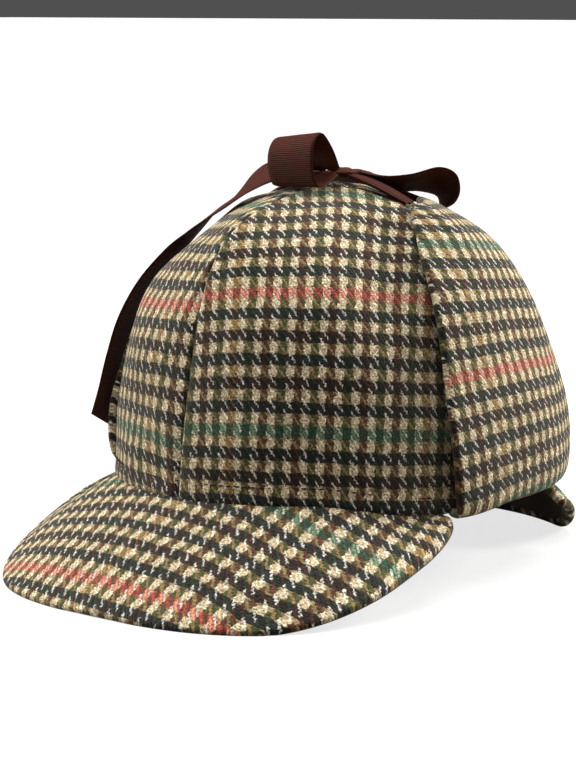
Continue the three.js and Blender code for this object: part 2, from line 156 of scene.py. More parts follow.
def makeTweed(name, shade=1.0):
    material, tree = newMaterial(name)
    yarn = tweedYarn
    place = addNode(tree, "UVMap", {"uv_map": "cloth"})
    moved = place
    for scale, reach in yarn["stray"]:
        noise = addNode(tree, "TexNoise", {"noise_dimensions": "2D"},
                        {"Vector": place, "Scale": scale, "Detail": 2.0, "Roughness": 0.5})
        centred = addNode(tree, "VectorMath", "SUBTRACT", {0: noise.outputs["Color"], 1: (0.5, 0.5, 0.5)})
        wander = addNode(tree, "VectorMath", "SCALE", {0: centred, "Scale": reach})
        moved = addNode(tree, "VectorMath", "ADD", {0: moved, 1: wander})
    threads = addNode(tree, "VectorMath", "DIVIDE",
                      {0: moved, 1: (yarn["warpThread"], yarn["weftThread"], 1.0)})
    whole = addNode(tree, "VectorMath", "FLOOR", {0: threads})
    part = addNode(tree, "VectorMath", "FRACTION", {0: threads})
    count = addNode(tree, "SeparateXYZ", {}, {0: whole})
    within = addNode(tree, "SeparateXYZ", {}, {0: part})

    # which of the four steps of the twill this crossing is at
    total = addNode(tree, "Math", "ADD", {0: count.outputs["X"], 1: count.outputs["Y"]})
    step = addNode(tree, "Math", "FLOORED_MODULO", {0: total, 1: 4.0})
    warpOnTop = addNode(tree, "Math", "LESS_THAN", {0: step, 1: 1.5})

    # the stripe's colour among light threads and among dark ones, the second with painted shade, and if it
    # is a dark one
    stripes, isDark = {}, {}
    ways = (("X", "cream", yarn["warpStripes"]), ("Y", "creamWeft", yarn["weftStripes"]))
    for way, light, stripeNames in ways:
        order = [each for stripe in stripeNames for each in (light, stripe)]
        cycle = yarn["stripe"] * len(order)
        run = addNode(tree, "Math", "DIVIDE", {0: count.outputs[way], 1: cycle})
        turn = addNode(tree, "Math", "FRACT", {0: run})
        middle = addNode(tree, "Math", "ADD", {0: turn, 1: 0.5 / cycle})
        stripes[way] = []
        for among in (0, 1):
            stops = [(k / len(order), yarn["colours"][each][among]) for k, each in enumerate(order)]
            ramp = addNode(tree, "ValToRGB", {}, {0: middle})
            fillRamp(ramp, stops, "CONSTANT")
            stripes[way].append(ramp)
        pair = addNode(tree, "Math", "FLOORED_MODULO", {0: count.outputs[way], 1: 2 * yarn["stripe"]})
        isDark[way] = addNode(tree, "Math", "GREATER_THAN", {0: pair, 1: yarn["stripe"] - 0.5})

    # rounded floats: along each float and across its yarn
    weftStep = addNode(tree, "Math", "SUBTRACT", {0: step, 1: 2.0})
    start = addNode(tree, "Mix", {"data_type": "FLOAT"}, {0: warpOnTop, 2: weftStep, 3: step})
    onward = addNode(tree, "Mix", {"data_type": "FLOAT"},
                     {0: warpOnTop, 2: within.outputs["X"], 3: within.outputs["Y"]})
    along = addNode(tree, "Math", "ADD", {0: start, 1: onward})
    across = addNode(tree, "Mix", {"data_type": "FLOAT"},
                     {0: warpOnTop, 2: within.outputs["Y"], 3: within.outputs["X"]})
    # each float leans, so that its end meets the next one down the twill
    lean = addNode(tree, "Math", "MULTIPLY_ADD", {0: along, 1: yarn["lean"], 2: -yarn["lean"]})
    leaned = addNode(tree, "Math", "ADD", {0: across, 1: lean})
    alongSide = addNode(tree, "Math", "SUBTRACT", {0: along, 1: 1.0})
    alongSquare = addNode(tree, "Math", "MULTIPLY", {0: alongSide, 1: alongSide})
    acrossSide = addNode(tree, "Math", "MULTIPLY_ADD", {0: leaned, 1: 2.0, 2: -1.0})
    acrossSquare = addNode(tree, "Math", "MULTIPLY", {0: acrossSide, 1: acrossSide})
    roundAlong = addNode(tree, "Math", "SUBTRACT", {0: 1.0, 1: alongSquare})
    roundAcross = addNode(tree, "Math", {"operation": "SUBTRACT", "use_clamp": True},
                          {0: 1.0, 1: acrossSquare})
    crown = addNode(tree, "Math", "MULTIPLY", {0: roundAlong, 1: roundAcross})
    height = addNode(tree, "Math", "POWER", {0: crown, 1: yarn["fullness"]})

    # a warp float over a dark row shows only its core, with the dark weft on both sides
    warpSide = addNode(tree, "Mix", {"data_type": "RGBA"},
                       {"Factor": isDark["Y"], 6: stripes["X"][0], 7: stripes["X"][1]})
    weftSide = addNode(tree, "Mix", {"data_type": "RGBA"},
                       {"Factor": isDark["X"], 6: stripes["Y"][0], 7: stripes["Y"][1]})
    core = addNode(tree, "MapRange", {"interpolation_type": "SMOOTHSTEP"},
                   {0: height, 1: yarn["coreFrom"], 2: yarn["coreTo"], 3: 1.0, 4: 0.0})
    sunk = addNode(tree, "Math", "MULTIPLY", {0: core, 1: isDark["Y"]})
    warpCore = addNode(tree, "Mix", {"data_type": "RGBA"},
                       {"Factor": sunk, 6: warpSide.outputs[2], 7: weftSide.outputs[2]})
    woven = addNode(tree, "Mix", {"data_type": "RGBA"},
                    {"Factor": warpOnTop, 6: weftSide.outputs[2], 7: warpCore.outputs[2]})

    # heathered wool: fibres and slubs change each yarn's tone, some of them tan
    fibre = addNode(tree, "TexNoise", {"noise_dimensions": "2D"},
                    {"Vector": moved, "Scale": yarn["fibreScale"], "Detail": 4.0, "Roughness": 0.7})
    tone = addNode(tree, "MapRange", {}, {
        0: fibre, 1: yarn["fibreFrom"], 2: yarn["fibreTo"], 3: yarn["fibreDark"], 4: yarn["fibreLight"]})
    fleck = addNode(tree, "TexNoise", {"noise_dimensions": "2D"},
                    {"Vector": moved, "Scale": yarn["fleckScale"], "Detail": 4.0, "Roughness": 0.75})
    fleckShare = addNode(tree, "MapRange", {"interpolation_type": "SMOOTHSTEP"}, {
        0: fleck, 1: yarn["fleckFrom"], 2: yarn["fleckTo"], 3: 0.0, 4: yarn["fleckShare"]})
    flecked = addNode(tree, "Mix", {"data_type": "RGBA", "blend_type": "MULTIPLY"},
                      {"Factor": fleckShare, 6: woven.outputs[2], 7: linearColour(yarn["tan"])})

    # light blobs are worn round and ragged at their corners
    blobSize = (yarn["stripe"] * yarn["warpThread"], yarn["stripe"] * yarn["weftThread"], 1.0)
    cell = addNode(tree, "VectorMath", "DIVIDE", {0: moved, 1: blobSize})
    inCell = addNode(tree, "VectorMath", "FRACTION", {0: cell})
    fromMiddle = addNode(tree, "VectorMath", "MULTIPLY_ADD",
                         {0: inCell, 1: (2.0, 2.0, 0.0), 2: (-1.0, -1.0, 0.0)})
    outness = addNode(tree, "VectorMath", "LENGTH", {0: fromMiddle})
    ragged = addNode(tree, "Math", "MULTIPLY_ADD",
                     {0: fleck, 1: yarn["ragged"], 2: outness.outputs["Value"]})
    worn = addNode(tree, "MapRange", {"interpolation_type": "SMOOTHSTEP"},
                   {0: ragged, 1: yarn["wornFrom"], 2: yarn["wornTo"], 3: 1.0, 4: yarn["worn"]})
    darkest = addNode(tree, "Math", "MAXIMUM", {0: isDark["X"], 1: isDark["Y"]})
    wornLight = addNode(tree, "Mix", {"data_type": "FLOAT"}, {0: darkest, 2: worn, 3: 1.0})
    # painted shade: the low parts of each float are darkened, more among dark threads, and the whole is
    # scaled by shade
    deepestGapShade = addNode(tree, "MapRange", {},
                      {0: darkest, 3: yarn["gapShadeAmongLight"] * shade, 4: yarn["gapShadeAmongDark"] * shade})
    gapShade = addNode(tree, "MapRange", {}, {0: height, 2: yarn["gapShadeTo"], 3: deepestGapShade, 4: shade})
    shaded = addNode(tree, "Math", "MULTIPLY", {0: tone, 1: gapShade})
    value = addNode(tree, "Math", "MULTIPLY", {0: shaded, 1: wornLight})
    colour = addNode(tree, "VectorMath", "SCALE", {0: flecked.outputs[2], "Scale": value})

    relief = addNode(tree, "Math", "MULTIPLY_ADD", {0: fibre, 1: yarn["fibreRelief"], 2: height})
    bump = addNode(tree, "Bump", {},
                   {"Strength": yarn["bump"], "Distance": yarn["relief"], "Height": relief})
    return finishMaterial(material, {
        "Base Color": colour, "Normal": bump,
        "Roughness": yarn["roughness"], "Specular IOR Level": yarn["specular"],
        "Sheen Weight": yarn["sheen"], "Sheen Roughness": yarn["sheenRoughness"],
        "Sheen Tint": linearColour(yarn["sheenColour"]),
    })


# Grosgrain: close ribs of viscose run across a 25 mm ribbon, so it has a dull silky gleam
# that breaks into fine lines, and a firm plain selvedge at each edge. Its ribs carry painted
# light on top and painted shade in the grooves between them.
grosgrainRibbon = {
    "ribPitch": 0.9,    # ribs of about 0.8 mm, a little coarser so that they still show
    # lit is the painted light on the ribs' tops, groove the painted shade between ribs
    "lit": "#5A2C20", "groove": "#220F0B", "selvedge": "#361A13", "selvedgeStart": 11.4,
    "uneven": 0.8, "ribFrom": -0.9, "ribTo": 0.5, "yarnDark": 0.78, "yarnLight": 1.2,
    "roughness": 0.6, "specular": 0.08,
    "bump": 0.7, "yarnRelief": 0.3, "relief": 0.00025,    # the relief is in metres
}


def makeGrosgrain(name):
    material, tree = newMaterial(name)
    ribbon = grosgrainRibbon
    place = addNode(tree, "UVMap", {"uv_map": "cloth"})
    parts = addNode(tree, "SeparateXYZ", {}, {0: place})
    shake = addNode(tree, "TexNoise", {"noise_dimensions": "2D"},
                    {"Vector": place, "Scale": 0.12, "Detail": 2.0})
    moved = addNode(tree, "Math", "MULTIPLY_ADD", {0: shake, 1: ribbon["uneven"], 2: parts.outputs["X"]})
    turn = addNode(tree, "Math", "MULTIPLY", {0: moved, 1: 2 * math.pi / ribbon["ribPitch"]})
    wave = addNode(tree, "Math", "SINE", {0: turn})
    rib = addNode(tree, "MapRange", {"interpolation_type": "SMOOTHSTEP"},
                  {0: wave, 1: ribbon["ribFrom"], 2: ribbon["ribTo"]})
    stretched = addNode(tree, "VectorMath", "MULTIPLY", {0: place, 1: (3.0, 0.35, 1.0)})
    yarn = addNode(tree, "TexNoise", {"noise_dimensions": "2D"},
                   {"Vector": stretched, "Scale": 1.0, "Detail": 4.0, "Roughness": 0.7})
    # painted shade in the grooves, painted light on the ribs' tops
    colour = addNode(tree, "Mix", {"data_type": "RGBA"},
                     {"Factor": rib, 6: linearColour(ribbon["groove"]), 7: linearColour(ribbon["lit"])})
    side = addNode(tree, "Math", "ABSOLUTE", {0: parts.outputs["Y"]})
    edge = addNode(tree, "MapRange", {"interpolation_type": "SMOOTHSTEP"},
                   {0: side, 1: ribbon["selvedgeStart"], 2: ribbon["selvedgeStart"] + 0.5})
    withEdge = addNode(tree, "Mix", {"data_type": "RGBA"},
                       {"Factor": edge, 6: colour.outputs[2], 7: linearColour(ribbon["selvedge"])})
    tone = addNode(tree, "MapRange", {},
                   {0: yarn, 1: 0.25, 2: 0.75, 3: ribbon["yarnDark"], 4: ribbon["yarnLight"]})
    toned = addNode(tree, "VectorMath", "SCALE", {0: withEdge.outputs[2], "Scale": tone})
    relief = addNode(tree, "Math", "MULTIPLY_ADD", {0: yarn, 1: ribbon["yarnRelief"], 2: rib})
    bump = addNode(tree, "Bump", {},
                   {"Strength": ribbon["bump"], "Distance": ribbon["relief"], "Height": relief})
    return finishMaterial(material, {
        "Base Color": toned, "Normal": bump,
        "Roughness": ribbon["roughness"], "Specular IOR Level": ribbon["specular"],
    })


# Facing cotton: the peaks' undersides are faced with close brown cotton. Its glaze is nearly
# worn off, so it looks dull, with a faint grain, and almost black in the peaks' shade.
cottonFacing = {
    "dark": "#4A3C31", "worn": "#746253", "grain": 1.6, "darkTo": 0.3, "wornFrom": 0.75,
    "roughness": 0.75, "specular": 0.35, "bump": 0.5, "relief": 0.0001,    # the relief is in metres
}


def makeFacingCotton(name):
    material, tree = newMaterial(name)
    cotton = cottonFacing
    place = addNode(tree, "UVMap", {"uv_map": "cloth"})
    grain = addNode(tree, "TexNoise", {"noise_dimensions": "2D"},
                    {"Vector": place, "Scale": cotton["grain"], "Detail": 4.0, "Roughness": 0.7})
    ramp = addNode(tree, "ValToRGB", {}, {0: grain})
    fillRamp(ramp, [(cotton["darkTo"], cotton["dark"]), (cotton["wornFrom"], cotton["worn"])])
    bump = addNode(tree, "Bump", {},
                   {"Strength": cotton["bump"], "Distance": cotton["relief"], "Height": grain})
    return finishMaterial(material, {
        "Base Color": ramp, "Normal": bump,
        "Roughness": cotton["roughness"], "Specular IOR Level": cotton["specular"],
    })


# Matte paper: a flat ground with no gloss. It glows for the camera alone, so shadows on it
# stay pale; it throws little light back, so the hat's front keeps its depth.
mattePaper = {"size": 60.0, "colour": "#7E7D7B", "glow": 0.75, "glowColour": "#FFFFFF", "roughness": 0.9}


def makeMatteFloor(name):
    material, tree = newMaterial(name)
    paper = mattePaper
    ray = addNode(tree, "LightPath")
    glow = addNode(tree, "Math", "MULTIPLY", {0: ray.outputs["Is Camera Ray"], 1: paper["glow"]})
    return finishMaterial(material, {
        "Base Color": linearColour(paper["colour"]),
        "Roughness": paper["roughness"], "Specular IOR Level": 0.1,
        "Emission Color": linearColour(paper["glowColour"]), "Emission Strength": glow,
    })


wool = makeTweed("woollenTwillTweed")
woolInsideShaded = makeTweed("woollenTwillWrongSideShaded", 0.6)    # the same cloth, darkened all over as painted shade in the hollow
grosgrain = makeGrosgrain("viscoseGrosgrain")
facingCotton = makeFacingCotton("glazedCottonFacing")
print("cloths woven")

# Light comes from overhead and from a softbox at each side, little from the camera's side.
# The lamps' places and sizes, and the paper's, are in metres.
studio = {
    "overhead": {"strength": 4.6, "spread": 60, "tip": (0.0, -0.02, 1)},
    "lamps": [
        {"name": "leftSoftbox", "place": (-1.25, -0.6, 0.6), "size": 0.9, "power": 18},
        {"name": "rightSoftbox", "place": (0.8, 1.18, 0.75), "size": 0.6, "power": 30},
    ],
    "lampsAim": (0, 0, 0.08),
    "roomLight": 0.08,
}
bpy.context.scene.view_settings.view_transform = "Standard"
bpy.ops.mesh.primitive_plane_add(size=mattePaper["size"])
floor = bpy.context.object
floor.name = "paperFloor"
floor.data.materials.append(makeMatteFloor("whitePaper"))
for lamp in studio["lamps"]:
    light = bpy.data.objects.new(lamp["name"], bpy.data.lights.new(lamp["name"], "AREA"))
    bpy.context.collection.objects.link(light)
    light.data.shape, light.data.size, light.data.energy = "DISK", lamp["size"], lamp["power"]
    light.location = lamp["place"]
    light.rotation_mode = "QUATERNION"
    light.rotation_quaternion = (Vector(studio["lampsAim"]) - light.location).to_track_quat("-Z", "Y")
overhead = bpy.data.objects.new("overheadPanel", bpy.data.lights.new("overheadPanel", "SUN"))
bpy.context.collection.objects.link(overhead)
overhead.data.energy = studio["overhead"]["strength"]
overhead.data.angle = math.radians(studio["overhead"]["spread"])
overhead.rotation_mode = "QUATERNION"
overhead.rotation_quaternion = Vector(studio["overhead"]["tip"]).to_track_quat("Z", "Y")
room = bpy.data.worlds.new("paleRoom")
bpy.context.scene.world = room
room.use_nodes = True
room.node_tree.nodes["Background"].inputs[0].default_value = (1, 1, 1, 1)
room.node_tree.nodes["Background"].inputs[1].default_value = studio["roomLight"]
print("studio set")


# Shapes are tables of sections, read on smooth curves.
def readRows(rows, name, at):
    values = np.array([row[name] for row in rows], float)
    last = len(values) - 1
    place = np.clip(at, 0, last)
    row = np.minimum(np.floor(place).astype(int), last - 1)
    part = place - row
    ends = np.concatenate([[2 * values[0] - values[1]], values, [2 * values[-1] - values[-2]]])
    before, here, after, beyond = ends[row], ends[row + 1], ends[row + 2], ends[row + 3]
    slopeHere, slopeAfter = (after - before) / 2, (beyond - here) / 2
    square, cube = part ** 2, part ** 3
    return (here * (2 * cube - 3 * square + 1) + slopeHere * (cube - 2 * square + part)
            + after * (3 * square - 2 * cube) + slopeAfter * (cube - square))


def smoothStep(value, low, high):
    share = np.clip((value - low) / (high - low), 0, 1)
    return share * share * (3 - 2 * share)


def mixed(a, b, share):
    return a + (b - a) * share


# The crown's outer form, and its rows: how far up they are from the rim to the top, and how
# far out at the seams and in the middle of a gore, all as shares.
crownForm = {
    "rimHalfLength": 104, "rimHalfWidth": 88, "top": 164.6, "rimFront": 41, "rimSide": 33, "rimUnderFlap": 3,
    "levelTurn": 35, "frontPeakTurn": 73, "backPeakTurn": 48, "earTurn": 8, "wall": 3,
}
crownRows = [
    {"rise": rise, "seam": seam, "middle": middle} for rise, seam, middle in (
        (0, 1, 1), (0.25, 0.96, 0.976), (0.45, 0.914, 0.938), (0.62, 0.862, 0.851), (0.76, 0.786, 0.706),
        (0.87, 0.649, 0.501), (0.95, 0.41, 0.279), (1, 0, 0), (0.95, -0.41, -0.279))
]
topRow = 7    # where the gores meet; the row after it only guides the curve


def rimHeight(turn):
    form = crownForm
    fromFront = np.abs((turn + 180) % 360 - 180)
    level = 1 - smoothStep(fromFront, form["levelTurn"], form["frontPeakTurn"])
    ear = (form["frontPeakTurn"] + 180 - form["backPeakTurn"]) / 2
    overEar = 1 - smoothStep(np.abs(fromFront - ear), form["earTurn"], ear - form["frontPeakTurn"])
    return mixed(form["rimSide"], form["rimFront"], level) + form["rimUnderFlap"] * overEar


def crownPoint(turn, row, inset=0.0):
    form = crownForm
    turn, row = np.broadcast_arrays(np.asarray(turn, float), np.asarray(row, float))
    rise, seam, middle = (readRows(crownRows, name, row) for name in ("rise", "seam", "middle"))
    angle = np.radians(turn)
    out = mixed(seam, middle, np.abs(np.sin(2 * angle)))
    return np.stack([
        (form["rimHalfWidth"] - inset) * out * np.sin(angle),
        -(form["rimHalfLength"] - inset) * out * np.cos(angle),
        mixed(rimHeight(turn), form["top"] - inset, rise),
    ], axis=-1)


def crownNormal(turn, row):
    form = crownForm
    angle = np.radians(turn)
    way = np.stack([
        np.sin(angle) / form["rimHalfWidth"], -np.cos(angle) / form["rimHalfLength"], 0 * angle], -1)
    way /= np.linalg.norm(way, axis=-1, keepdims=True)
    nudge = 0.05
    climb = crownPoint(turn, row + nudge) - crownPoint(turn, np.maximum(row - nudge, 0))
    square = way * climb[..., 2:3]
    square[..., 2] = -(climb * way).sum(-1)
    return square / np.linalg.norm(square, axis=-1, keepdims=True)


def runLength(points, axis):
    # distance run along one way of a grid, from its first row
    gaps = np.linalg.norm(np.diff(points, axis=axis), axis=-1)
    start = np.zeros_like(np.take(gaps, [0], axis=axis))
    return np.concatenate([start, np.cumsum(gaps, axis=axis)], axis=axis)


def squareTo(points):
    alongU, alongV = np.gradient(points, axis=0), np.gradient(points, axis=1)
    normal = np.cross(alongU, alongV)
    size = np.linalg.norm(normal, axis=-1, keepdims=True)
    return normal / np.maximum(size, 1e-9)


def softSteps(count, ends=(True, True), border=0.03):
    # even steps from 0 to 1 with closer ones at the ends that are rounded
    closer = border * np.array([0.04, 0.14, 0.3, 0.55, 0.8])
    parts = [np.linspace(0, 1, count + 1)]
    if ends[0]:
        parts.append(closer)
    if ends[1]:
        parts.append(1 - closer)
    return np.unique(np.round(np.concatenate(parts), 6))


def gentleWaves(points, seed, size=38.0, height=0.7):
    # low smooth swells over cloth, the same at the same place on every run
    source = np.random.default_rng(seed)
    waves = np.zeros(points.shape[:-1])
    count = 9
    for _ in range(count):
        way = source.normal(size=3)
        way /= np.linalg.norm(way)
        length = size * source.uniform(0.7, 1.5)
        waves += np.sin(points @ way * (2 * math.pi / length) + source.uniform(0, 6.28))
    return waves * height / math.sqrt(count)


def makeMesh(name, places, faces, flat, materials, faceMaterial=None):
    # flat gives each point's place on the cloth, in millimetres
    mesh = bpy.data.meshes.new(name)
    mesh.from_pydata(toMetres(places).tolist(), [], [list(map(int, face)) for face in faces])
    layer = mesh.uv_layers.new(name="cloth")
    corners = np.zeros(len(mesh.loops), int)
    mesh.loops.foreach_get("vertex_index", corners)
    layer.data.foreach_set("uv", np.asarray(flat, np.float32)[corners].ravel())
    for material in materials:
        mesh.materials.append(material)
    if faceMaterial is not None:
        mesh.polygons.foreach_set("material_index", np.asarray(faceMaterial, np.int32))
    mesh.polygons.foreach_set("use_smooth", np.ones(len(mesh.polygons), bool))
    mesh.update()
    piece = bpy.data.objects.new(name, mesh)
    bpy.context.collection.objects.link(piece)
    return piece


def sheetPiece(name, middle, thickness, flat, materials, flip=False, blunt=False):
    # a closed cloth about a grid of middle points, with its borders rolled round; its first
    # border along V stays blunt where it is hidden
    countU, countV = middle.shape[:2]
    runU, runV = runLength(middle, 0), runLength(middle, 1)
    fromFirst = runV + (np.inf if blunt else 0)
    border = np.minimum(np.minimum(runU, runU[-1:] - runU), np.minimum(fromFirst, runV[:, -1:] - runV))
    share = np.clip(border / (thickness / 2), 0, 1)
    half = thickness / 2 * np.sqrt(1 - (1 - share) ** 2)
    normal = squareTo(middle) * (-1 if flip else 1)
    top, bottom = middle + normal * half[..., None], middle - normal * half[..., None]
    number = np.arange(countU * countV).reshape(countU, countV)
    onBorder = half == 0
    under = np.where(onBorder, number, 0)
    inner = ~onBorder
    under[inner] = countU * countV + np.arange(inner.sum())
    places = np.concatenate([top.reshape(-1, 3), bottom[inner]])
    allFlat = np.concatenate([flat.reshape(-1, 2), flat[inner]])
    topFaces = np.stack([number[:-1, :-1], number[1:, :-1], number[1:, 1:], number[:-1, 1:]], -1)
    topFaces = topFaces.reshape(-1, 4)
    if blunt:
        closing = np.stack([number[:-1, 0], under[:-1, 0], under[1:, 0], number[1:, 0]], -1)
        topFaces = np.concatenate([topFaces, closing])
    lowFaces = np.stack([under[:-1, :-1], under[:-1, 1:], under[1:, 1:], under[1:, :-1]], -1)
    lowFaces = lowFaces.reshape(-1, 4)
    if flip:
        topFaces, lowFaces = topFaces[:, ::-1], lowFaces[:, ::-1]
    faces = np.concatenate([topFaces, lowFaces])
    kind = None
    if len(materials) > 1:
        kind = np.concatenate([np.zeros(len(topFaces)), np.ones(len(lowFaces))])
    return makeMesh(name, places, faces, allFlat, materials, kind)


def finishPiece(piece, slot, *nodes):
    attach(piece, "root")
    if nodes:
        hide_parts(*nodes)


# How the cloth gave way where it was eased round a form: a smooth surface of millimetres to
# add across and up, over the cloth's own flat place.
clothEase = {
    "frontLeft": {
        "centre": (44.11, 103.09), "size": (54.5, 71.17),
        "across": (0.56, -1.38, -2.21, -4.97, -1.79, -1.56, 0.27, 1.51, -0.56, -0.61),
        "up": (-0.49, 1.78, -1.27, -0.53, 0.24, -0.54, 1.96, 0.78, -1.34, 0.61),
    },
    "frontRight": {
        "centre": (85.24, 112.31), "size": (30.9, 68.71),
        "across": (2.3, 2.23, 3.9, -1.75, -0.58, 0.88, -0.72, 0.17, -0.63, 0.68),
        "up": (-2.59, 0.81, 2.13, -3.36, 0.33, -2.26, -0.25, -0.53, 0.5, -0.82),
    },
    "leftFlap": {
        "centre": (13.95, 133.43), "size": (40.02, 69.95),
        "across": (4.35, 2.34, 0.95, 1.77, -0.64, -1.85, 0.79, -0.69, 0.39, -1.04),
        "up": (0.03, 0.53, -0.73, 4.58, 2.04, -0.2, -0.14, 0.35, 0.01, -0.6),
    },
    "frontPeak": {
        "centre": (34.6, -87.5), "size": (70.4, 47.08),
        "across": (0.12, 0.09, -1.86, 2.92, -4.85, -0.44, 1.21, -0.12, -0.86, 0.79),
        "up": (3.26, -2.65, 2.09, -4.06, 0.42, -2.24, 0.46, -0.13, 0.14, -0.1),
    },
}
easeReach = 1.15    # past this many sizes from its middle the cloth gives no further


def easedCloth(flat, name):
    # a and b run from -1 to 1 across and up the piece; a table's ten numbers are in this order
    ease = clothEase.get(name)
    if not ease:
        return flat
    a, b = np.moveaxis(np.clip((flat - ease["centre"]) / ease["size"], -easeReach, easeReach), -1, 0)
    terms = np.stack([a ** 0, a, b, a * b, a * a, b * b, a * a * b, a * b * b, a ** 3, b ** 3], -1)
    return flat + np.stack([terms @ np.array(ease["across"]), terms @ np.array(ease["up"])], -1)


# Crown: cloth along the middle of a gore from the rim up, and across it, against the length that
# the shaped dome has there: steaming draws it in low down and out at the shoulder.
goreCloth = {
    "seamDip": 0.8, "seamWidth": 2.0, "seamFade": 12, "gap": 0.06,
    "stitchHeight": 6.5, "stitchDip": 0.35, "stitchWidth": 0.8, "pressedIn": 1.0, "pressedUpTo": 6,
    # swells die away towards a seam, the rim and the top, over these lengths
    "swellSeed": 7, "swellFade": (6, 8, 25),
    "upTo": ((-10, -10.4), (0, 0), (10, 10.4), (68, 72.8), (87, 93.6), (108, 114.4), (155, 156), (200, 198)),
    "across": ((33, 0.95), (43, 0.96), (107, 1.086), (141, 1.16), (166, 1.18)),
    # where each gore was cut: across, up, and where across it a row runs lowest
    "frontLeft": (52.0, 37.7, -20), "frontRight": (39.8, 47.9, 70), "backLeft": (20.0, 30.0, 20),
    "backRight": (5.0, 12.0, -20),
    "rowBend": 0.0012, "columns": 96, "rows": 116, "spineSteps": 400,
}


def goreGrid(quarter, lowest):
    cloth = goreCloth
    us, vs = softSteps(cloth["columns"]), softSteps(cloth["rows"], (True, False))
    turn = quarter + 90 * us[:, None] + 0 * vs[None, :]
    outer = crownPoint(turn, topRow * vs[None, :] + 0 * us[:, None])
    spine = crownPoint(quarter + 45.0, topRow * np.linspace(0, 1, cloth["spineSteps"]))
    spineRun = runLength(spine[None], 1)[0]
    up = np.interp(outer[..., 2], spine[:, 2], spineRun) + np.minimum(outer[..., 2] - spine[0, 2], 0)
    ringRun = runLength(outer, 0)
    centre = np.stack([np.interp(0.5, us, ringRun[:, k]) for k in range(len(vs))])
    scale = np.interp(outer[..., 2], *zip(*cloth["across"]))
    across = (ringRun - centre[None, :]) * scale
    upCloth = np.interp(up, *zip(*cloth["upTo"])) + cloth["rowBend"] * (across - lowest) ** 2
    return outer, across, upCloth


def makeGore(end, side, sideX, sideY, quarter):
    cloth = goreCloth
    shiftU, shiftV, lowest = cloth[end + side.capitalize()]
    outer, across, up = goreGrid(quarter, lowest)
    ring = runLength(outer, 0)
    toSeam = np.minimum(ring, ring[-1:] - ring)
    rise = runLength(outer, 1)
    normal = squareTo(outer)
    outwards = np.sign((normal * (outer - insideCrown)).sum(-1).mean())
    normal *= outwards
    toTop = rise[:, -1:] - rise
    fade = np.ones_like(rise)
    for distance, length in zip((toSeam, rise, toTop), cloth["swellFade"]):
        fade = fade * np.clip(distance / length, 0, 1)
    swell = gentleWaves(outer, cloth["swellSeed"]) * fade
    seam = np.exp(-(toSeam / cloth["seamWidth"]) ** 2) * np.clip(toTop / cloth["seamFade"], 0, 1)
    stitch = np.exp(-((rise - cloth["stitchHeight"]) / cloth["stitchWidth"]) ** 2)
    swell -= cloth["seamDip"] * seam + cloth["stitchDip"] * stitch
    middle = outer + normal * (swell - crownForm["wall"] / 2)[..., None]
    middle[..., 0] += sideX * cloth["gap"] / 2
    middle[..., 1] += sideY * cloth["gap"] / 2
    middle[..., 2] -= cloth["pressedIn"] * np.clip(1 - rise / cloth["pressedUpTo"], 0, 1)
    flat = easedCloth(np.stack([across + shiftU, up + shiftV], -1), end + side.capitalize())
    piece = sheetPiece(f"gore_{end}_{side}", middle, crownForm["wall"], flat, [wool, woolInsideShaded],
                       flip=outwards < 0)
    finishPiece(piece, "tweed", f"crown_gore_{end}_{side}")


for end, side, sideX, sideY, quarter in (
        ("front", "left", 1, -1, 0), ("back", "left", 1, 1, 90),
        ("back", "right", -1, 1, 180), ("front", "right", -1, -1, 270)):
    makeGore(end, side, sideX, sideY, quarter)
print("crown sewn")


# Peaks: boards of stiffened cloth from under the crown's rim to an outer edge, each with a
# thin facing below. facingSide and facingEdge are the shares by which it stops short.
peakForm = {
    "thickness": 4.2, "tuck": 2.0, "gap": 0.3, "facing": 0.8, "facingSide": 0.04,
    "swell": {"seed": 11, "size": 60, "height": 0.35}, "swellFade": 8, "closeSteps": (0.02, 0.06),
}
frontPeak = {
    "turn": 73, "spread": 89.2, "halfWidth": 98.6, "centreY": -41, "depth": 113.2, "squareness": 2.7,
    "edgeHeight": 0.4, "slope": 0.38, "bend": 0.0016, "bulge": 2.5,
    "cornerFrom": 72, "cornerBack": 7, "roundFrom": 82, "rounding": 0.55, "facingEdge": 0.07,
    # where its cloth was cut, and how it was drawn in across, up, and towards the sides
    "cloth": (5.0, 47.3), "clothAcross": 0.915, "clothUp": 1.156,
    "clothBack": ((-80, 16.5), (-48, 6.7), (-29, 2.9), (-12, 1.2), (5, 0), (60, 0), (76, 5), (90, 10)),
    "clothLean": ((-155, -11.5), (-120, -1.0), (-100, 0.0)),
    "clothSide": ((-90, 0), (-73, 1.3), (-54, 4.4), (-41, 9)), "sideFrom": 90,
    "columns": 150, "rows": 70,
}
backPeak = {
    "turn": 48, "halfWidth": 79, "centreY": 71, "depth": 48.5,
    "edgeHeight": 0, "endHeight": 18, "endTurn": 45, "bulge": 5, "facingEdge": 0.11,
    "cloth": (12.0, 40.0), "clothUp": 1.25, "columns": 120, "rows": 50,
}


def frontTurn(u):
    return mixed(-frontPeak["turn"], frontPeak["turn"], u)


def backTurn(u):
    return mixed(180 - backPeak["turn"], 180 + backPeak["turn"], u)


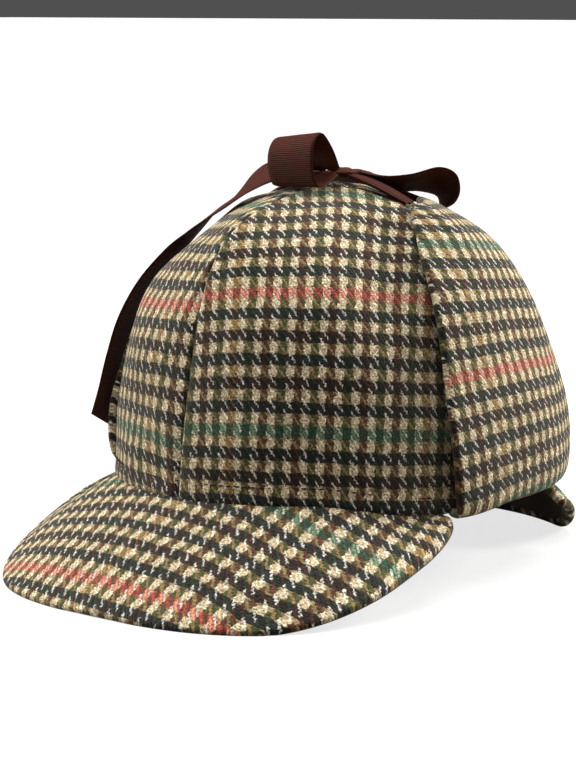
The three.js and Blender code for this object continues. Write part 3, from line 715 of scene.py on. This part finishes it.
def frontEdge(u):
    peak = frontPeak
    angle = np.radians(mixed(-peak["spread"], peak["spread"], u))
    power = 2 / peak["squareness"]
    x = peak["halfWidth"] * np.sign(angle) * np.abs(np.sin(angle)) ** power
    y = peak["centreY"] - peak["depth"] * np.abs(np.cos(angle)) ** power
    aside = np.abs(np.degrees(angle))
    y = y + peak["cornerBack"] * smoothStep(aside, peak["cornerFrom"], peak["spread"])
    fromTip = y - (peak["centreY"] - peak["depth"])
    sheetHeight = peak["edgeHeight"] + peak["slope"] * fromTip - peak["bend"] * x * x
    highest = crownForm["rimSide"] - peakForm["gap"] - peakForm["thickness"] / 2
    edge = np.stack([x, y, np.maximum(np.minimum(sheetHeight, highest), 0)], -1)
    # its corners are cut round and come in to the crown
    start = crownPoint(frontTurn(u), 0, peakForm["tuck"])
    start[..., 2] = highest
    near = np.clip((aside - peak["roundFrom"]) / (peak["spread"] - peak["roundFrom"]), 0, 1)
    return mixed(edge, start, (peak["rounding"] * (1 - np.sqrt(1 - near ** 2)))[:, None])


def backEdge(u):
    peak = backPeak
    angle = np.radians(mixed(90, -90, u))
    lift = smoothStep(np.abs(angle), math.radians(peak["endTurn"]), math.pi / 2)
    return np.stack([
        peak["halfWidth"] * np.sin(angle), peak["centreY"] + peak["depth"] * np.cos(angle),
        mixed(peak["edgeHeight"], peak["endHeight"], lift)], -1)


def peakGrid(turn, edge, bulge, us, vs):
    start = crownPoint(turn, 0, peakForm["tuck"])
    start[..., 2] -= peakForm["gap"] + peakForm["thickness"] / 2
    grid = start[:, None] + (edge - start)[:, None] * vs[None, :, None]
    arch = np.sqrt(np.maximum(np.sin(math.pi * us), 0))[:, None] * np.sin(math.pi * vs)[None, :]
    grid[..., 2] += bulge * arch
    return grid


def restOnFloor(piece):
    count = len(piece.data.vertices)
    places = np.zeros(count * 3)
    piece.data.vertices.foreach_get("co", places)
    places = places.reshape(-1, 3)
    places[:, 2] = np.maximum(places[:, 2], 0)
    piece.data.vertices.foreach_set("co", places.ravel())
    piece.data.update()


def makePeak(end, turnAt, edgeAt, form, flatOf):
    closeSide, closeEdge = peakForm["closeSteps"]
    us = softSteps(form["columns"], (True, True), closeSide)
    vs = softSteps(form["rows"], (False, True), closeEdge)
    grid = peakGrid(turnAt(us), edgeAt(us), form["bulge"], us, vs)
    down = -1 if squareTo(grid)[len(us) // 2, len(vs) // 2, 2] < 0 else 1
    fade = np.clip(np.minimum(vs, 1 - vs) * peakForm["swellFade"], 0, 1)[None, :]
    normal = squareTo(grid) * down
    grid = grid + normal * (gentleWaves(grid, **peakForm["swell"]) * fade)[..., None]
    # the front peak's underside starts at its very edge; the back one's tweed is rolled round it
    cloths = [wool, facingCotton] if end == "front" else [wool]
    board = sheetPiece(f"{end}_peak_board", grid, peakForm["thickness"], flatOf(grid), cloths,
                       flip=down < 0, blunt=True)
    restOnFloor(board)
    finishPiece(board, "tweed", f"{end}_peak")

    faceUs = mixed(peakForm["facingSide"], 1 - peakForm["facingSide"], us)
    faceVs = vs * (1 - form["facingEdge"])
    under = peakGrid(turnAt(faceUs), edgeAt(faceUs), form["bulge"], faceUs, faceVs)
    depth = peakForm["thickness"] / 2 + peakForm["gap"] + peakForm["facing"] / 2
    under -= squareTo(under) * down * depth
    facing = sheetPiece(f"{end}_peak_lining", under, peakForm["facing"], flatOf(under), [facingCotton],
                        flip=down < 0)
    restOnFloor(facing)
    finishPiece(facing, "facing", f"{end}_peak_facing")


def frontPeakCloth(grid):
    peak, x, y = frontPeak, grid[..., 0], grid[..., 1]
    across = peak["clothAcross"] * (x - np.interp(y, *zip(*peak["clothLean"])))
    across = across + np.clip(x / peak["sideFrom"], 0, 1) ** 2 * np.interp(y, *zip(*peak["clothSide"]))
    up = peak["clothUp"] * (y - np.interp(x, *zip(*peak["clothBack"])))
    return easedCloth(np.stack([across, up], -1) + peak["cloth"], "frontPeak")


def backPeakCloth(grid):
    return np.stack([-grid[..., 0], -backPeak["clothUp"] * grid[..., 1]], -1) + backPeak["cloth"]


makePeak("front", frontTurn, frontEdge, frontPeak, frontPeakCloth)
makePeak("back", backTurn, backEdge, backPeak, backPeakCloth)
print("peaks set")


# Stitches: one dark row runs round the front of the crown just above the peak.
rimStitch = {
    "stitch": 2.8, "space": 0.7, "radius": 0.42, "sides": 6, "taper": 0.35, "lift": 0.1,
    "endTurn": 70, "turnSteps": 400, "rowSteps": 40, "thread": "#2A1A13",
}


def makeThread(name):
    # spun thread: dull, darker than the cloth, so the row reads as one fine line
    material, _ = newMaterial(name)
    return finishMaterial(material, {
        "Base Color": linearColour(rimStitch["thread"]), "Roughness": 0.75, "Specular IOR Level": 0.2,
    })


def makeRimStitches():
    stitch = rimStitch
    turns = np.linspace(-stitch["endTurn"], stitch["endTurn"], stitch["turnSteps"])
    rows = np.linspace(0, 1, stitch["rowSteps"])
    line = []
    for turn in turns:
        rise = runLength(crownPoint(turn, rows)[None], 1)[0]
        row = np.interp(goreCloth["stitchHeight"], rise, rows)
        lift = stitch["lift"] - goreCloth["stitchDip"]
        line.append(crownPoint(turn, row) + crownNormal(turn, row) * lift)
    line = np.array(line)
    run = runLength(line[None], 1)[0]
    places, faces, sides = [], [], stitch["sides"]
    for start in np.arange(1, run[-1] - stitch["stitch"], stitch["stitch"] + stitch["space"]):
        # a stitch is thin at both ends and full in its middle
        at = start + stitch["stitch"] * np.array([0, 0.5, 1])
        rings = np.stack([np.interp(at, run, line[:, k]) for k in range(3)], -1)
        away = crownNormal(np.interp(start, run, turns), 0.3)
        across = np.cross(rings[2] - rings[0], away)
        across /= np.linalg.norm(across)
        first = len(places)
        for centre, size in zip(rings, (stitch["taper"], 1, stitch["taper"])):
            for angle in np.arange(sides) * 2 * math.pi / sides:
                side = across * math.cos(angle) + away * math.sin(angle)
                places.append(centre + side * stitch["radius"] * size)
        for ring in (first, first + sides):
            for k in range(sides):
                onward = (k + 1) % sides
                faces.append([ring + k, ring + onward, ring + sides + onward, ring + sides + k])
        faces.append([first + k for k in reversed(range(sides))])
        faces.append([first + 2 * sides + k for k in range(sides)])
    flat = np.zeros((len(places), 2))
    piece = makeMesh("rim_stitches", np.array(places), faces, flat, [makeThread("spunSewingThread")])
    finishPiece(piece, "tweed")


makeRimStitches()
print("rim stitched")


# Ear flaps: each is a folded hem and a padded sheet that climbs the crown. A row gives how far
# up the crown's own table it is and how far it drops below the rim, the turns of its front and
# back edge, how far each of them stands off the crown, and by how much the right flap's front
# edge stands out more, before rightFlare.
flapRows = [
    dict(zip(("up", "drop", "front", "back", "frontOff", "backOff", "flare"), row)) for row in (
        (0, 2.4, 74.5, 126, -1.4, -1.4, 0), (0, 2.9, 74, 126.5, 3, 3, 4), (0, 0.9, 72.8, 127, 8, 10, 9),
        (0.3, 0, 71.6, 128, 10, 13, 11), (1, 0, 70.8, 130, 10, 12.4, 10.5), (2, 0, 70.8, 130, 8.8, 8, 7),
        (3, 0, 71, 130, 7.6, 6.4, 4), (4, 0, 72.6, 130, 5.8, 6.2, 2), (4.7, 0, 76.5, 131, 4.4, 5.4, 0.6),
        (5.2, 0, 80.5, 131, 3.4, 4.4, 0), (5.55, 0, 85, 126, 2.9, 3.4, 0))
]
flapForm = {
    "thickness": 4, "fill": 0.15, "rightReach": 0.7, "rightFlare": 0.4, "flareTurn": 0.3,
    "cornerLift": 2.2, "cornerRows": (3, 6),
    "swell": {"seed": 23, "size": 42, "height": 0.5}, "swellFade": 6,
    # where each flap's cloth was cut, and how it was drawn up and leans
    "left": (32.6, 67.1), "right": (33.0, 14.0), "orangeRow": 65.5, "draw": 1.145,
    "lean": ((30, 5), (60, 1), (75, 0)), "hemSteps": 30, "hemLength": 12,
    "columns": 90, "rows": 130, "closeSteps": (0.04, 0.02),
}


def makeFlap(side, sideX, reach, flare):
    form = flapForm
    closeSide, closeTop = form["closeSteps"]
    us = softSteps(form["columns"], (True, True), closeSide)
    vs = softSteps(form["rows"], (False, True), closeTop)
    at = vs * (len(flapRows) - 1)
    read = {name: readRows(flapRows, name, at)[None, :] for name in flapRows[0]}
    stand = flare * read["flare"]
    turn = mixed(read["front"] - form["flareTurn"] * stand, read["back"], us[:, None])
    off = mixed(read["frontOff"] + stand, read["backOff"], us[:, None])
    row = np.maximum(read["up"], 0) * reach + 0 * us[:, None]
    grid = crownPoint(turn, row) + crownNormal(turn, row) * off[..., None]
    grid[..., 2] -= np.maximum(read["drop"], 0)
    low = (1 - us[:, None]) ** 4 * (1 - smoothStep(at, *form["cornerRows"]))[None, :]
    grid[..., 2] += form["cornerLift"] * low
    normal = squareTo(grid)
    half = len(us) // 2
    outwards = np.sign((normal * (grid - insideCrown)).sum(-1).mean())
    fade = np.clip(vs * form["swellFade"], 0, 1)[None, :]
    grid = grid + normal * outwards * (gentleWaves(grid, **form["swell"]) * fade)[..., None]
    # above its hem the cloth's rows lie level, as high as they are at the flap's middle
    ring = runLength(grid, 0)
    across = ring - ring[half][None, :] - np.interp(grid[..., 2], *zip(*form["lean"]))
    up = runLength(grid, 1)[half][None, :] + 0 * us[:, None]
    hem = form["hemSteps"]
    spine = grid[half, hem:, 2]
    level = np.interp(grid[..., 2], spine, up[0, hem:]) + np.minimum(grid[..., 2] - spine[0], 0)
    upCloth = np.where(up > form["hemLength"], level, up)
    upCloth = (upCloth - form["orangeRow"]) * form["draw"] + form["orangeRow"]
    flat = easedCloth(np.stack([across, upCloth], -1) + form[side], f"{side}Flap")
    grid[..., 0] *= sideX
    piece = sheetPiece(f"{side}_flap", grid, form["thickness"], flat, [wool], flip=(outwards * sideX) < 0)
    finishPiece(piece, "tweed", f"{side}_ear_flap")


makeFlap("left", 1, 1.0, 0.0)
makeFlap("right", -1, flapForm["rightReach"], flapForm["rightFlare"])
print("flaps folded up")


# Ribbon: a row gives the place of its middle, its width, and which way its width points, as a
# turn from the side and a rise from level.
ribbonForm = {
    "thickness": 0.8, "cutWidth": 25.0, "across": 18, "stepsPerRow": 14,
    "pleats": 2.0, "pleatHeight": 1.1, "mostGathered": 0.6, "narrowest": 10.5,
}
ribbonRows = {
    "bow_front_loop": (
        (2, -3.2, 170.2, 11, 0, 0), (1, -9.2, 171.9, 22, 0, 3), (0.2, -14.8, 179.6, 24.6, 0, 6),
        (0.2, -22, 185.8, 24.6, 0, 7), (0.2, -27.5, 181.6, 24.6, 0, 6), (0.2, -28.5, 173.2, 24.6, 0, 4),
        (0.2, -25.2, 165, 24.6, 0, 2), (0.2, -18.5, 164.8, 24.6, 0, 1), (1, -11, 168, 21, 0, 0),
        (2, -3.4, 168.4, 11, 0, 0)),
    "bow_back_loop": (
        (9.5, 8.6, 168.8, 8, -42, 10), (14.4, 18, 165.2, 14, -38, 20), (20, 29, 163.8, 20, -34, 27),
        (25.6, 39.6, 164.6, 25, -32, 30), (30, 46.6, 161.6, 25, -32, 27), (30.4, 47.8, 154.6, 25, -32, 18),
        (27, 44.6, 151.6, 20, -34, 8), (20.6, 35, 156.4, 15, -38, 6), (14.4, 22, 162.2, 12, -42, 4),
        (9.4, 10, 167.6, 8, -42, 4)),
    "side_tail": (
        (-5.6, 2.4, 169.6, 8, 100, 6), (-13, -6, 169.8, 15, 110, 16), (-22, -15, 168.6, 20, 116, 27),
        (-30.5, -18, 163.8, 24, 116, 22), (-40.5, -20, 155, 25, 113, 11), (-51, -21.2, 148.4, 25, 112, 9),
        (-60.8, -20, 141.6, 25, 110, 3), (-72.6, -20.2, 132, 25, 108, -4),
        (-84.2, -24.8, 117.6, 25, 106, -4), (-92.4, -29, 101, 25, 105, -3),
        (-97.6, -31.6, 83.4, 25, 105, -2), (-100.2, -34.8, 66.4, 25, 106, -10),
        (-102, -38.4, 52.4, 26, 108, -23)),
    "back_tail": (
        (-1, 11.4, 168.4, 8, 14, 0), (-6, 23, 168, 17, 18, 0), (-15, 37, 164, 25, 21, 0),
        (-24, 56, 155, 25, 23, 2), (-32, 73.5, 141, 25, 24, 6), (-38, 86, 123, 25, 24, 4),
        (-41, 93, 105, 25, 24, 2), (-43, 98, 88, 25, 24, 14)),
    "left_tie": (
        (10.9, 1.6, 167.8, 6, 88, 0), (18, 2.4, 165.8, 9, 94, 0), (26, 3.4, 162.9, 10, 98, 0),
        (32.4, 4.4, 160, 10, 100, 0), (39, 5.4, 156.8, 10, 102, -2)),
    "right_tie": (
        (-4.7, 7, 168, 5, 92, 0), (-12, 9.6, 167.4, 9, 88, 0), (-22, 12, 165.2, 10, 84, 0),
        (-33, 13.6, 160.8, 11, 80, 0), (-43, 14.4, 155.6, 12, 78, -2), (-51, 14.6, 150.2, 12, 78, -2),
        (-58, 14.6, 144.8, 12, 78, -2)),
}


def makeRibbon(name, rows):
    form = ribbonForm
    named = [dict(zip(("x", "y", "z", "width", "turn", "rise"), row)) for row in rows]
    at = np.linspace(0, len(rows) - 1, (len(rows) - 1) * form["stepsPerRow"] + 1)
    read = {key: readRows(named, key, at) for key in named[0]}
    turn, rise = np.radians(read["turn"]), np.radians(read["rise"])
    wide = np.stack([np.cos(rise) * np.cos(turn), np.cos(rise) * np.sin(turn), np.sin(rise)], -1)
    line = np.stack([read["x"], read["y"], read["z"]], -1)
    share = np.linspace(-0.5, 0.5, form["across"] + 1)
    grid = line[:, None] + wide[:, None] * (share[None, :] * read["width"][:, None])[..., None]
    normal = squareTo(grid)
    # width that is gathered in stands up as soft pleats
    slack = np.clip(1 - read["width"] / form["cutWidth"], 0, form["mostGathered"])
    pleat = np.cos(2 * math.pi * form["pleats"] * share)[None, :] * slack[:, None] * form["pleatHeight"]
    grid = grid + normal * pleat[..., None]
    along = runLength(line[None], 1)[0]
    flat = np.stack(np.broadcast_arrays(along[:, None], share[None, :] * form["cutWidth"]), -1)
    piece = sheetPiece(f"ribbon_{name}", grid, form["thickness"], flat, [grosgrain])
    finishPiece(piece, "ribbon", name)


for ribbonName, rows in ribbonRows.items():
    makeRibbon(ribbonName, rows)
print("ribbon tied")


# Knot: a flat ball of ribbon drawn tight, with grooves between its turns.
knotForm = {
    "centre": (3, 4, 168.8), "radii": (7.5, 6, 2.4), "grooves": 8.0, "grooveLean": 1.2, "grooveDepth": 0.12,
    "stepsAround": 96, "stepsDown": 48, "poleGap": 0.02, "cloth": (12, 8),
}


def makeKnot():
    form = knotForm
    around = np.linspace(0, 2 * math.pi, form["stepsAround"] + 1)
    down = np.linspace(form["poleGap"], math.pi - form["poleGap"], form["stepsDown"] + 1)
    around, down = np.meshgrid(around, down, indexing="ij")
    ball = np.stack([np.sin(down) * np.cos(around), np.sin(down) * np.sin(around), np.cos(down)], -1)
    wave = np.cos(form["grooves"] * ball[..., 0] + form["grooveLean"] * ball[..., 1])
    groove = 1 - form["grooveDepth"] * (0.5 + 0.5 * wave)
    grid = ball * groove[..., None] * form["radii"] + form["centre"]
    count = grid.shape[0] - 1
    number = np.arange(count * grid.shape[1]).reshape(count, grid.shape[1])
    number = np.concatenate([number, number[:1]])
    faces = np.stack([number[:-1, :-1], number[:-1, 1:], number[1:, 1:], number[1:, :-1]], -1)
    caps = [number[:-1, 0].tolist(), number[:-1, -1][::-1].tolist()]
    flat = (ball[..., :2] * form["cloth"])[:-1].reshape(-1, 2)
    piece = makeMesh("knot", grid[:-1].reshape(-1, 3), [*faces.reshape(-1, 4).tolist(), *caps], flat,
                     [grosgrain])
    finishPiece(piece, "ribbon", "bow_knot")


makeKnot()
print("knot pulled")
